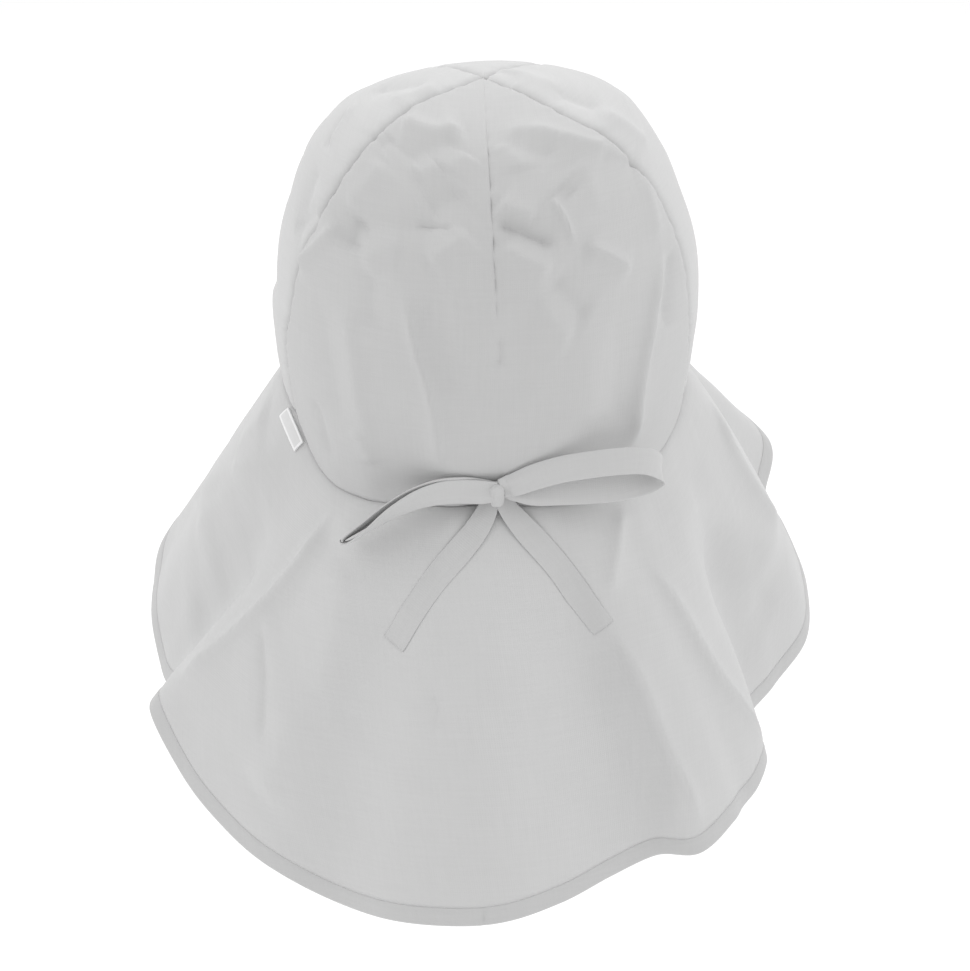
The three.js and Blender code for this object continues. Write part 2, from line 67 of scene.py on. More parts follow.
# Angle, level, mm outwards, reach in degrees round and in level down
FULL_PLACES = [
    (-100, 0.2, 4, 48, 0.13), (-125, 0.16, 2.8, 35, 0.08), (-95, 0.62, 1.8, 40, 0.3),
    (145, 0.14, -2, 32, 0.08), (92, 0.18, 2.6, 34, 0.075), (92, 0.48, -2.2, 34, 0.075),
    (92, 0.6, -1.5, 34, 0.075), (-92, 0.08, 2, 34, 0.075), (-92, 0.18, 2.2, 34, 0.075),
    (-92, 0.28, -1.2, 34, 0.075), (-92, 0.38, -1.7, 34, 0.075), (-92, 0.48, -1.8, 34, 0.075),
    (0, 0.22, 4.2, 60, 0.085),
]
# The four seams in degrees from the back, at even steps from the apex to the rim
SEAMS = {
    "back_left": (43, 49, 52, 59, 68, 70, 70),
    "back_right": (-40, -47, -61, -69, -73, -76, -80),
    "front_left": (147, 145, 143, 141, 140, 139, 138),
    "front_right": (-146, -145, -143, -141, -140, -139, -138),
}


def through(column, place):
    """A Catmull-Rom line through values at places 0, 1, 2 and so on.

    Between b and c, with a before and d after them and t from 0 to 1, it is
    (2b + (c - a) t + (2a - 5b + 4c - d) t^2 + (3b - a - 3c + d) t^3) / 2.
    """
    row = np.asarray(column, float)
    row = np.concatenate([[2 * row[0] - row[1]], row, [2 * row[-1] - row[-2]]])
    i = np.clip(np.floor(place).astype(int), 0, len(row) - 4)
    t = place - i
    a, b, c, d = (row[i + k] for k in range(4))
    return (2 * b + (c - a) * t + (2 * a - 5 * b + 4 * c - d) * t**2 + (3 * b - a - 3 * c + d) * t**3) / 2


def ease(x, low, high):
    """0 below low, 1 above high, and 3t^2 - 2t^3 between them."""
    t = np.clip((x - low) / (high - low), 0, 1)
    return t * t * (3 - 2 * t)


def seam_angle(name, level):
    """The angle of a seam at a level."""
    return through(SEAMS[name], level * (len(SEAMS[name]) - 1))


def rim_drop(angle):
    """How far the rim lies below the apex, in mm."""
    turn = (angle + 180) % 360 - 180
    place = np.interp(turn, RIM[:, 0], np.arange(len(RIM)))
    return RIM_DROP * through(RIM[:, 1], place)


def crown_form(angle, level):
    """The middle of the crown's cloth in mm, at degrees from the back and level 0, apex, to 1, rim.

    With t from 0 to a right angle down to DOME_SHARE, girth is sin(t)^(2/p) and the height lost is
    1 - cos(t)^(2/p) of the dome's. Below that it goes straight down and draws in by tuck times the
    square of the way down. Gathers and full places are added outwards as bells, exp(-x^2).
    """
    angle, level = np.broadcast_arrays(np.asarray(angle, float), np.asarray(level, float))
    a = np.radians(angle)
    t = np.minimum(level / DOME_SHARE, 1) * math.pi / 2
    low = np.clip((level - DOME_SHARE) / (1 - DOME_SHARE), 0, None)
    tuck = SIDE_TUCK + (NAPE_TUCK - SIDE_TUCK) * np.maximum(np.cos(a), 0) ** 2
    girth = np.sin(t) ** (2 / DOME_POWER) * (1 - tuck * low**2)
    dome = DOME_HEIGHT * (1 - np.maximum(np.cos(t), 0) ** (2 / DOME_POWER))
    drop = dome + (rim_drop(angle) - DOME_HEIGHT) * low
    depth = np.where(np.cos(a) > 0, CROWN_BACK_DEPTH, CROWN_FRONT_DEPTH)
    fade = ease(level, 0.45, 1)
    out = np.zeros_like(a)
    for start, end, height, spread in GATHERS:
        off = (angle - start - (end - start) * fade) / spread
        out += height * fade * np.exp(-off * off)
    for place, height, full, wide, high in FULL_PLACES:
        off = (((angle - place + 540) % 360) - 180) / wide
        out += full * np.exp(-off * off - ((level - height) / high) ** 2)
    x = (CROWN_HALF_WIDTH * girth + out) * np.sin(a)
    y = (depth * girth + out) * np.cos(a)
    return np.stack([x, y, CLOTH / 2 - drop], -1)


def flat_radius(level):
    """The flat cloth's radius at a level in mm: FLAT_RADIUS times the crown's girth there."""
    return FLAT_RADIUS * np.sin(np.minimum(level / DOME_SHARE, 1) * math.pi / 2) ** (2 / DOME_POWER)


def crown_flat(angle, level):
    """A crown place on the flat cloth in mm: the angle times the radius there, and down the gore."""
    return np.stack([np.radians(angle) * flat_radius(level), FLAT_LENGTH * level], -1)


def unit(v):
    """A vector, or each of an array of them, at length 1."""
    return v / np.linalg.norm(v, axis=-1, keepdims=True)


def outward(points):
    """Unit normals of a grid of points: the cross product of its two directions."""
    n = np.cross(np.gradient(points, axis=0), np.gradient(points, axis=1))
    return n / np.maximum(np.linalg.norm(n, axis=-1, keepdims=True), 1e-12)


def folds_in(flat, folds, lay):
    """Ridges and valleys in mm, each along a smooth line through places on the flat cloth.

    A fold's height falls off with the distance d from its line as exp(-(sqrt(d^2 + r^2) - r) / w),
    with r its roundness and w its reach, and rises and falls over the ends of its length.
    """
    total = np.zeros(flat.shape[:-1])
    for height, reach, roundness, places in folds:
        across, along = np.array(places, float).T
        place = np.linspace(0, len(places) - 1, 5 * len(places) - 4)
        line = lay(through(across, place), through(along, place))
        steps = np.diff(line, axis=0)
        run = np.concatenate([[0], np.linalg.norm(steps, axis=1).cumsum()])
        nearest, share = np.full(total.shape, np.inf), np.zeros(total.shape)
        for corner, step, start, end in zip(line, steps, run, run[1:]):
            t = np.clip((flat - corner) @ step / (step @ step), 0, 1)
            d = np.linalg.norm(flat - corner - t[..., None] * step, axis=-1)
            share = np.where(d < nearest, (start + t * (end - start)) / run[-1], share)
            nearest = np.minimum(d, nearest)
        ends = ease(share, 0, 0.22) * (1 - ease(share, 0.78, 1))
        total += height * ends * np.exp(-(np.sqrt(nearest**2 + roundness**2) - roundness) / reach)
    return total


def ripples(flat, size, height):
    """Slow uneven waves in a worn cloth: a sum of five sines in turned directions."""
    total = np.zeros(flat.shape[:-1])
    for k in range(5):
        turn = 0.7 + 2.4 * k
        wave = 2 * math.pi / (size * (1 + 0.37 * k))
        total += np.sin(wave * (flat[..., 0] * math.cos(turn) + flat[..., 1] * math.sin(turn)) + 1.7 * k)
    return height * total / 5


def cloth_piece(name, middle, thickness, flat, material):
    """A closed wall of cloth: a grid's two faces half the thickness out and in along its normals.

    middle is the grid in mm, flat the same grid on the flat cloth in mm, which becomes the UV map
    in metres.
    """
    cols, rows = middle.shape[:2]
    n = outward(middle)
    half = np.asarray(thickness)[..., None] / 2
    verts = np.concatenate([(middle + n * half).reshape(-1, 3), (middle - n * half).reshape(-1, 3)]) * MM
    at = np.arange(cols * rows).reshape(cols, rows)
    under = at + cols * rows
    ring = [at[:, 0], at[-1, 1:], at[-2::-1, -1], at[0, -2:0:-1]]
    edge = np.concatenate(ring)
    nxt = np.roll(edge, -1)
    top = np.stack([at[:-1, :-1], at[1:, :-1], at[1:, 1:], at[:-1, 1:]], -1).reshape(-1, 4)
    base = np.stack([under[:-1, :-1], under[:-1, 1:], under[1:, 1:], under[1:, :-1]], -1).reshape(-1, 4)
    side = np.stack([edge, edge + cols * rows, nxt + cols * rows, nxt], -1)
    uv = np.concatenate([flat.reshape(-1, 2)] * 2) * MM
    return mesh_piece(name, verts, np.concatenate([top, base, side]), uv, material)


def mesh_piece(name, verts, quads, uv, material):
    """A smooth-shaded object from corner positions in metres, quads and a UV for each corner."""
    mesh = bpy.data.meshes.new(name)
    mesh.vertices.add(len(verts))
    mesh.vertices.foreach_set("co", verts.astype(np.float32).ravel())
    mesh.loops.add(quads.size)
    mesh.loops.foreach_set("vertex_index", quads.astype(np.int32).ravel())
    mesh.polygons.add(len(quads))
    mesh.polygons.foreach_set("loop_start", np.arange(0, quads.size, 4, dtype=np.int32))
    mesh.polygons.foreach_set("use_smooth", np.ones(len(quads), bool))
    mesh.update(calc_edges=True)
    layer = mesh.uv_layers.new(name="cloth")
    layer.data.foreach_set("uv", uv[quads.ravel()].astype(np.float32).ravel())
    mesh.materials.append(material)
    mesh.validate()
    piece = bpy.data.objects.new(name, mesh)
    bpy.context.scene.collection.objects.link(piece)
    return piece


def cotton_material(name, tone, thread=0.00042):
    """Plain woven cotton: crossed threads and slubs for its bump, and a faint uneven tone.

    thread is the distance from one thread to the next, in metres of the flat cloth in its UV map.
    """
    material = bpy.data.materials.new(name)
    material.use_nodes = True
    tree = material.node_tree
    nodes, link = tree.nodes, tree.links.new
    shader = nodes["Principled BSDF"]
    shader.inputs["Roughness"].default_value = 0.88
    shader.inputs["Specular IOR Level"].default_value = 0.25
    shader.inputs["Sheen Weight"].default_value = 0.12
    shader.inputs["Sheen Roughness"].default_value = 0.5
    place = nodes.new("ShaderNodeTexCoord")

    def texture(kind, scale, stretch=(1, 1, 1)):
        mapping = nodes.new("ShaderNodeMapping")
        mapping.inputs["Scale"].default_value = stretch
        link(place.outputs["UV"], mapping.inputs["Vector"])
        node = nodes.new(kind)
        link(mapping.outputs["Vector"], node.inputs["Vector"])
        node.inputs["Scale"].default_value = scale
        return node

    def math_node(operation, a, b):
        node = nodes.new("ShaderNodeMath")
        node.operation = operation
        for socket, value in zip(node.inputs, (a, b)):
            if isinstance(value, float):
                socket.default_value = value
            else:
                link(value, socket)
        return node.outputs[0]

    warp = texture("ShaderNodeTexWave", 1 / (thread * 2 * math.pi))
    warp.bands_direction = "X"
    weft = texture("ShaderNodeTexWave", 1 / (thread * 2 * math.pi))
    weft.bands_direction = "Y"
    slub = texture("ShaderNodeTexNoise", 900, (1, 0.06, 1))
    slub_across = texture("ShaderNodeTexNoise", 900, (0.06, 1, 1))
    patches = texture("ShaderNodeTexNoise", 28)
    weave = math_node("MULTIPLY", warp.outputs["Fac"], weft.outputs["Fac"])
    slubs = math_node("ADD", slub.outputs["Fac"], slub_across.outputs["Fac"])
    height = math_node("ADD", math_node("MULTIPLY", weave, 0.5), math_node("MULTIPLY", slubs, 0.6))
    bump = nodes.new("ShaderNodeBump")
    bump.inputs["Strength"].default_value = 0.16
    bump.inputs["Distance"].default_value = 0.0003
    link(height, bump.inputs["Height"])
    link(bump.outputs["Normal"], shader.inputs["Normal"])
    unevenness = math_node("MULTIPLY", patches.outputs["Fac"], 0.3)
    mixed = math_node("ADD", math_node("MULTIPLY", slubs, 0.35), unevenness)
    ramp = nodes.new("ShaderNodeValToRGB")
    ramp.color_ramp.elements[0].position = 0.3
    ramp.color_ramp.elements[0].color = (*[c * 0.965 for c in tone], 1)
    ramp.color_ramp.elements[1].position = 0.75
    ramp.color_ramp.elements[1].color = (*[c * 1.03 for c in tone], 1)
    link(mixed, ramp.inputs["Fac"])
    link(ramp.outputs["Color"], shader.inputs["Base Color"])
    return material


cotton = cotton_material("pale_cotton", (0.61, 0.61, 0.61))
# A darker copy of the same cotton for the back gore: painted shade, standing in for the back of the crown
# that faces away from the light from above.
shaded_back_cotton = cotton_material("pale_cotton_painted_shade", (0.56, 0.56, 0.56))

# A row for each crease: height, reach and roundness in mm, and the places that it runs through as
# angle and level. Those over 90 degrees either way are on the sides and front.
CROWN_FOLDS = [
    (3.4, 5.1, 1.5, [(44, 0.184), (23, 0.197), (8, 0.181)]),
    (3.8, 5.1, 1.2, [(-4.2, 0.188), (-22.8, 0.198), (-41.5, 0.257), (-53.2, 0.298), (-64.5, 0.354)]),
    (-2.2, 5.5, 3, [(30, 0.287), (22.5, 0.243), (8.8, 0.204)]),
    (-1.9, 5.5, 3, [(-9.2, 0.206), (-19.2, 0.245), (-29.2, 0.265)]),
    (-3, 4.5, 2, [(-43.8, 0.278), (-53.5, 0.307), (-63.2, 0.351)]),
    (1.5, 4.2, 2, [(-6, 0.218), (-12.2, 0.265), (-13.2, 0.294)]),
    (1.3, 4.2, 2, [(13.2, 0.290), (5.5, 0.244)]),
    (-2.3, 6.0, 3, [(18, 0.385), (10.8, 0.354), (5.8, 0.332)]),
    (-1.4, 1.3, 0.2, [(21.5, 0.408), (15.8, 0.410), (7.5, 0.414)]),
    (-1.9, 5.1, 2, [(42.2, 0.431), (25, 0.417), (9.8, 0.410)]),
    (2.7, 3.8, 1.5, [(15.2, 0.477), (9.2, 0.451), (3.8, 0.417)]),
    (-3.4, 4.2, 2, [(38.8, 0.411), (40, 0.452), (39.8, 0.484)]),
    (3.4, 3.0, 1.2, [(60.8, 0.545), (52, 0.497), (45.2, 0.439)]),
    (-2.7, 4.2, 2, [(68.5, 0.492), (58.2, 0.431)]),
    (1.5, 5.1, 2, [(35.2, 0.495), (28.5, 0.465), (22.2, 0.459)]),
    (-2.1, 6.8, 3, [(29.8, 0.499), (30.8, 0.555), (29.8, 0.606)]),
    (3.0, 2.5, 1, [(22.5, 0.514), (18.8, 0.582), (15.5, 0.652), (12.8, 0.760), (12.2, 0.906)]),
    (-1.7, 6.8, 3, [(15.8, 0.525), (11.2, 0.601), (7.5, 0.720)]),
    (1.9, 3.8, 2, [(41.5, 0.565), (36.8, 0.625), (35, 0.752), (32.5, 0.847)]),
    (-1.5, 6.8, 3, [(50.5, 0.559), (45, 0.655), (41.8, 0.840)]),
    (2.5, 4.2, 2, [(-4.2, 0.362), (-9.8, 0.378), (-15.5, 0.397)]),
    (-4.4, 3.2, 0.8, [(-2.2, 0.392), (-8.5, 0.410), (-14.8, 0.432), (-21.8, 0.455)]),
    (2.8, 3.8, 1.5, [(-4.5, 0.441), (-10, 0.467), (-18.8, 0.497)]),
    (1.9, 1.3, 0.2, [(-21.8, 0.352), (-24, 0.400), (-26.2, 0.461)]),
    (3.4, 3.0, 1, [(-28.8, 0.458), (-35.5, 0.487), (-43.2, 0.525)]),
    (-2.7, 5.1, 2, [(-17.5, 0.505), (-23.2, 0.548), (-29, 0.584)]),
    (1.9, 4.2, 2, [(-14.2, 0.532), (-18.2, 0.575), (-23.8, 0.613)]),
    (1.5, 7.6, 4, [(-28.2, 0.598), (-28.5, 0.692), (-29, 0.817)]),
    (3.4, 2.5, 0.8, [(-59.5, 0.495), (-51.8, 0.568), (-47.8, 0.638), (-45.5, 0.755), (-45.8, 0.909)]),
    (-3.0, 4.2, 2, [(-64.5, 0.515), (-58.8, 0.579), (-55.8, 0.635)]),
    (-1.3, 6.0, 3, [(-38, 0.564), (-37.8, 0.686), (-38.2, 0.837)]),
    (-1.9, 3.4, 1.5, [(54.2, 0.797), (51, 0.859), (49.2, 0.943)]),
    (-2.3, 3.0, 1, [(92, 0.176), (89.8, 0.133), (82.2, 0.071)]),
    (1.7, 3.4, 1.5, [(66.5, 0.158), (59.5, 0.119), (57.2, 0.071)]),
    (-1.9, 2.5, 1, [(85.5, 0.226), (77.5, 0.275), (72.5, 0.327)]),
    (1.5, 2.5, 1, [(81, 0.201), (74.8, 0.258), (69, 0.318)]),
    (-1.7, 3.4, 1.5, [(67.2, 0.352), (66.8, 0.398), (68.2, 0.467)]),
    (2.1, 3.4, 1.5, [(-110.5, 0.022), (-76.8, 0.054), (-67.8, 0.120)]),
    (-2.3, 3.0, 1, [(-68.2, 0.084), (-66.2, 0.141), (-70.8, 0.186)]),
    (2.3, 3.4, 1.5, [(-62.5, 0.184), (-68.8, 0.253), (-76.8, 0.337)]),
    (-1.8, 7, 3, [(-9.8, 0.539), (-9.5, 0.612), (-11, 0.722)]),
    (1.2, 4, 1.5, [(8.8, 0.512), (5.5, 0.585), (4.5, 0.646)]),
    (-1.4, 2.2, 0.6, [(-3.5, 0.592), (-4.2, 0.613), (-3.8, 0.642)]),
    (1.4, 4, 1.2, [(38.5, 0.820), (35, 0.863), (33.8, 0.913)]),
    (2.0, 5, 1.5, [(-60.2, 0.361), (-57.5, 0.442), (-55.2, 0.497)]),
    (1.6, 5, 2, [(-35.2, 0.283), (-36.2, 0.342), (-36.2, 0.405)]),
    (-1.6, 6, 2, [(-25.5, 0.330), (-29, 0.365)]),
    (1.8, 5, 2, [(38.2, 0.287), (39, 0.345), (45.5, 0.400)]),
    (-1.4, 4, 1.5, [(41.2, 0.224), (43.2, 0.268)]),
    (1.5, 5, 2, [(24, 0.307), (16, 0.277)]),
    (1.4, 7, 3, [(120, 0.24), (112, 0.33), (108, 0.44)]),
    (-1.3, 6, 2.5, [(104, 0.3), (98, 0.4), (96, 0.5)]),
    (1.2, 6, 3, [(96, 0.62), (94, 0.78), (95, 0.97)]),
    (-1, 5, 2, [(103, 0.7), (105, 0.85), (104, 0.98)]),
    (1.1, 5, 2, [(126, 0.66), (123, 0.8), (122, 0.98)]),
    (1.3, 7, 3, [(-112, 0.22), (-104, 0.33), (-101, 0.45)]),
    (-1.3, 6, 2.5, [(-122, 0.3), (-116, 0.42), (-112, 0.5)]),
    (1.2, 6, 3, [(-98, 0.64), (-100, 0.8), (-98, 0.97)]),
    (-1, 5, 2, [(-112, 0.68), (-110, 0.84), (-112, 0.98)]),
    (1, 5, 2, [(-128, 0.7), (-126, 0.84), (-127, 0.98)]),
    (1.2, 8, 3, [(160, 0.22), (166, 0.3), (176, 0.34)]),
    (-1.1, 7, 3, [(170, 0.4), (180, 0.46), (190, 0.47)]),
    (1, 6, 2.5, [(186, 0.24), (196, 0.3), (204, 0.4)]),
    (1, 6, 2.5, [(164, 0.66), (166, 0.82), (165, 0.98)]),
    (1, 6, 2.5, [(194, 0.68), (192, 0.84), (194, 0.98)]),
    (-0.9, 5, 2, [(178, 0.75), (179, 0.88), (178, 0.99)]),
    (-0.9, 6, 2, [(152, 0.5), (156, 0.62), (156, 0.72)]),
    (0.9, 6, 2, [(204, 0.52), (200, 0.62), (201, 0.74)]),
]
SEAM_DEPTH = 2.4
SEAM_REACH = 1.1
PUCKER = 0.4
RIM_LAP = 0.011  # how far the crown's edge hangs over the flap's, as a level
DART_SLANT = -5.5  # degrees that the dart leans by the rim
DART_END = (0.52, 0.6)  # levels over which it fades out
LAP_END = (118, 130)  # degrees from the back over which the lap at the rim fades out
GORE_ROWS = 170


def seam_pull(distance, along):
    """How far a seam draws the cloth in, in mm: a sharp valley, with small puckers along it."""
    valley = -SEAM_DEPTH * np.exp(-distance / SEAM_REACH)
    pucker = np.sin(along / 1.45) + np.sin(along / 2.3 + 1) + 0.7 * np.sin(along / 0.97 + 2)
    return valley + PUCKER / 2 * pucker * np.exp(-distance / 4)


def dart_lap(angle, level):
    """The dart: one side of the cloth laps over the other along the middle of the back, in mm.

    With x mm across it, the step from the one to the other is 0.5 tanh(x / 0.25) - 0.45, and it
    fades away from the line as exp(-|x| / 1.8). It is fainter at the top and puckers along its run.
    """
    x = np.radians(angle - DART_SLANT * level) * flat_radius(level)
    step = 0.5 * np.tanh(x / 0.25) - 0.45
    along = level * FLAT_LENGTH
    pucker = 1 + 0.35 * np.sin(along / 1.3) + 0.3 * np.sin(along / 2.1 + 2)
    height = step * np.exp(-np.abs(x) / 1.8) * pucker
    return height * (0.3 + 0.7 * ease(level, 0.15, 0.24)) * (1 - ease(level, *DART_END))


def gore(name, from_seam, to_seam, columns, middle=None, material=cotton):
    """One gore between two seams, with its columns drawn closer at its edges and at a middle line.

    Its edge at the rim hangs over the flap, and where there is a middle line, the dart runs down it.
    """
    level = APEX_LEVEL + (1 - APEX_LEVEL) * np.linspace(0, 1, GORE_ROWS) ** 1.1
    left, right = (seam_angle(s, level) for s in (from_seam, to_seam))
    if right[0] < left[0]:
        right = right + 360
    ring = crown_form((left + right) / 2, level)
    gap = np.degrees(SEAM_GAP / 2 / np.linalg.norm(ring[:, :2], axis=1))
    left, right = left + gap, right - gap
    centre = (left + right) / 2 if middle is None else middle * level
    t = np.linspace(0, 1, columns // 2 + 1)
    closer = 0.55 * t + 0.45 * (1 - np.cos(math.pi * t)) / 2
    first = left[None] + (centre - left)[None] * closer[:, None]
    second = centre[None] + (right - centre)[None] * closer[1:, None]
    angle = np.concatenate([first, second])
    laps = 1 - ease(np.abs((angle + 180) % 360 - 180), *LAP_END)
    level = level + RIM_LAP * laps * level**12
    points = crown_form(angle, level)
    flat = crown_flat(angle, level)
    from_edge = np.minimum(flat[..., 0] - flat[:1, :, 0], flat[-1:, :, 0] - flat[..., 0])
    relief = seam_pull(from_edge, flat[..., 1])
    relief += seam_pull(flat[:, -1:, 1] - flat[..., 1], flat[..., 0]) * (0.4 - 0.3 * laps)
    relief += folds_in(flat, CROWN_FOLDS, crown_flat)
    relief += ripples(flat, 21, 0.16) * ease(level, 0.03, 0.12)
    if middle is not None:
        relief += dart_lap(angle, level)
    points = points + outward(points) * relief[..., None]
    return cloth_piece(name, points, np.full(angle.shape, CLOTH), flat, material)


crown_pieces = [
    # The back gore takes the darker copy of the cotton, which paints shade on it.
    gore("back_gore", "back_right", "back_left", 230, middle=DART_SLANT, material=shaded_back_cotton),
    gore("left_gore", "back_left", "front_left", 100),
    gore("right_gore", "front_right", "back_right", 100),
    gore("front_gore", "front_left", "front_right", 110),
]
crown_nodes = ["crown_back", "crown_left", "crown_right", "crown_front"]
crown_flats = [(0.205, 0.205), (0.125, 0.165), (0.125, 0.165), (0.13, 0.165)]
crown_areas = [0.0276, 0.0152, 0.0144, 0.0132]
for piece, node, flat_size, flat_area in zip(crown_pieces, crown_nodes, crown_flats, crown_areas):
    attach(piece, "root")
    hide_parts(node)

# Flap. One wide piece of the same cotton, gathered into the rim seam from temple to temple round
# the back. It falls over the neck and shoulders in soft folds that run from the rim to the hem.
FLAP_DROP = 150
FLAP_SPREAD = 45
HEM_WIDTH = 7
HEM_GAP = 0.03
TOP_TUCK = -2.1  # the flap's top lies under the crown's edge
# A row for each fold: its angle at the rim and at the hem, and its drop, spread and bulge as shares
FOLDS = np.array([
    (-132, -134, 0.07, 0.2, 0), (-125, -128, 0.251, 0.85, 0), (-118, -120, 0.372, 1.2, 0),
    (-111, -114, 0.488, 1.01, 0), (-103, -107, 0.55, 1.08, 0.02), (-95, -99, 0.647, 1.16, 0.03),
    (-86, -92, 0.733, 1.12, 0.06), (-76, -85, 0.783, 0.83, 0.05), (-66, -76, 0.797, 0.64, 0.02),
    (-53, -64, 0.778, 0.99, 0.05), (-41, -56, 0.823, 0.99, 0.06), (-31, -49, 0.831, 1.11, 0.06),
    (-24, -41, 0.877, 1.09, 0.05), (-19, -36, 0.895, 0.81, 0.03), (-13, -26, 0.931, 0.78, 0.04),
    (-7, -14, 0.97, 0.9, 0.05), (0, 0, 0.998, 1.03, 0.06), (10, 16, 1.002, 0.97, 0.06),
    (19, 30, 0.994, 0.88, 0.06), (28, 43, 0.916, 1.05, 0.06), (35, 53, 0.847, 1.1, 0.06),
    (41, 62, 0.762, 1.2, 0.05), (46, 71, 0.638, 1.31, 0.02), (56, 79, 0.673, 1.07, 0.03),
    (68, 86, 0.755, 1.1, 0.05), (80, 92, 0.703, 1.19, 0.04), (91, 98, 0.646, 1.22, 0.02),
    (101, 105, 0.563, 1.22, 0), (112, 114, 0.467, 0.97, 0), (122, 124, 0.3, 0.6, 0),
    (132, 134, 0.07, 0.2, 0),
])
LAST_FOLD = len(FOLDS) - 1


def flap_line(fold):
    """A fold's line in mm: its top on the rim, its foot on the hem, its length and its bulge."""
    rim, hem, drop, spread, bulge = (through(FOLDS[:, k], fold) for k in range(5))
    top = crown_form(rim, np.ones_like(rim))
    top[..., 2] -= SEAM_GAP + CLOTH / 2
    radius = np.hypot(top[..., 0], top[..., 1]) + FLAP_SPREAD * spread
    turn = np.radians(hem)
    foot = np.stack([radius * np.sin(turn), radius * np.cos(turn), top[..., 2] - FLAP_DROP * drop], -1)
    return top, foot, np.linalg.norm(foot - top, axis=-1), bulge


def flap_form(fold, down):
    """The middle of the flap's cloth in mm, at a place in folds and down from 0, rim, to 1, hem.

    It is the straight line from top to foot, bowed outwards by bulge times 4 down (1 - down).
    """
    fold, down = np.broadcast_arrays(np.asarray(fold, float), np.asarray(down, float))
    top, foot, length, bulge = flap_line(fold)
    chord = (foot - top) / length[..., None]
    out = unit((top + foot) * (1, 1, 0))
    out = unit(out - (out * chord).sum(-1, keepdims=True) * chord)
    bow = bulge * length * 4 * down * (1 - down)
    return top + chord * (down * length)[..., None] + out * bow[..., None]


places = np.linspace(0, LAST_FOLD, 601)
tops, feet, lengths, _ = flap_line(places)


def run_length(points):
    """Length along a line of points, from its middle one."""
    steps = np.linalg.norm(np.diff(points, axis=0), axis=1)
    run = np.concatenate([[0], np.cumsum(steps)])
    return run - run[len(run) // 2]


rim_run, hem_run = run_length(tops), run_length(feet)


def flap_flat(fold, down):
    """A flap place on the flat cloth in mm: along by the mean of rim and hem there, and down."""
    fold, down = np.asarray(fold, float), np.asarray(down, float)
    rim, hem, length = (np.interp(fold, places, run) for run in (rim_run, hem_run, lengths))
    return np.stack([rim + (hem - rim) * down, length * down], -1)


# A row for each small fold: height, reach and roundness in mm, and the places that it runs through
# as fold and down
FLAP_FOLDS = [
    (3.2, 2.7, 0.6, [(21.8, 0.024), (21.3, 0.257), (21.5, 0.529), (21.8, 0.747), (21.9, 0.898)]),
    (2.8, 2.7, 0.6, [(10.1, 0.188), (9.9, 0.387), (9.7, 0.593), (9.3, 0.790), (8.9, 0.980)]),
    (2.8, 2.7, 0.8, [(12.1, 0.337), (11.9, 0.491), (11.9, 0.677), (11.8, 0.858), (11.9, 0.970)]),
    (-3.2, 6.3, 3, [(12.4, 0.327), (12.4, 0.497), (12.3, 0.683), (12.3, 0.872)]),
    (2.8, 3.1, 1, [(9.8, 0.040), (10.7, 0.148), (11.9, 0.277)]),
    (3.0, 2.7, 0.8, [(5.1, 0.128), (6, 0.198), (6.2, 0.371), (6, 0.603)]),
    (2.0, 5.4, 2, [(24.8, 0.086), (24.8, 0.184), (24.7, 0.279)]),
    (2.0, 5.4, 2, [(24.2, 0.138), (24.3, 0.335), (24.8, 0.601)]),
    (-2.0, 3.1, 1, [(21.3, 0.451), (20.2, 0.579), (19.6, 0.725)]),
    (2.4, 6.3, 3, [(19.6, 0.174), (19.1, 0.355), (18.9, 0.541)]),
    (-3.0, 6.3, 3, [(23.6, 0.770), (23.1, 0.567), (22.6, 0.369)]),
    (4.6, 9.0, 3, [(9.1, 0.086), (7.7, 0.287), (6.8, 0.475), (6, 0.711)]),
    (-2.7, 9.0, 3, [(8.7, 0.363), (7.3, 0.607), (6.6, 0.788)]),
    (-2.2, 8.0, 3, [(20.7, 0.082), (20.7, 0.303), (20.8, 0.499)]),
    (2.7, 9.0, 3, [(19.2, 0.559), (19.2, 0.729), (19.3, 0.854)]),
    (-1.9, 10.0, 4, [(18, 0.236), (18.3, 0.445), (18.4, 0.609)]),
    (1.6, 10.0, 4, [(16.2, 0.457), (16.1, 0.647), (16.1, 0.840)]),
    (-1.4, 2.2, 0.6, [(16.8, 0.435), (16.7, 0.493), (16.7, 0.541)]),
    (2.2, 5.0, 1.5, [(26, 0.609), (24.5, 0.289), (23.7, 0.076)]),
    (-2.0, 6.0, 2, [(24, 0.571), (23.4, 0.395), (23.1, 0.246)]),
]


def flap_relief(flat, down):
    """The flap's small folds and its slow waves, in mm outwards."""
    return folds_in(flat, FLAP_FOLDS, flap_flat) + ripples(flat, 34, 0.35) * ease(down, 0.05, 0.3)


def flap_points(fold, down):
    """The flap with its small folds, and the mm of flat cloth at each place."""
    points, flat = flap_form(fold, down), flap_flat(fold, down)
    at_rim = TOP_TUCK * np.exp(-flat[..., 1] / 3) + seam_pull(flat[..., 1] * 3, flat[..., 0]) * 0.2
    relief = flap_relief(flat, down) + at_rim
    return points + outward(points) * relief[..., None], flat


def band_start(fold):
    """How far down the hem band begins."""
    return 1 - HEM_WIDTH / np.interp(fold, places, lengths)


FLAP_COLUMNS = 430
FLAP_ROWS = 100
fold_grid = np.linspace(0, LAST_FOLD, FLAP_COLUMNS)[:, None]
down_grid = np.linspace(0, 1, FLAP_ROWS)[None, :]
band = band_start(fold_grid)
gap = HEM_GAP / 2 / np.interp(fold_grid, places, lengths)
points, flat = flap_points(fold_grid, down_grid * (band - gap))
flap = cloth_piece("neck_flap", points, np.full(points.shape[:2], CLOTH), flat, cotton)
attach(flap, "root")
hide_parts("flap")

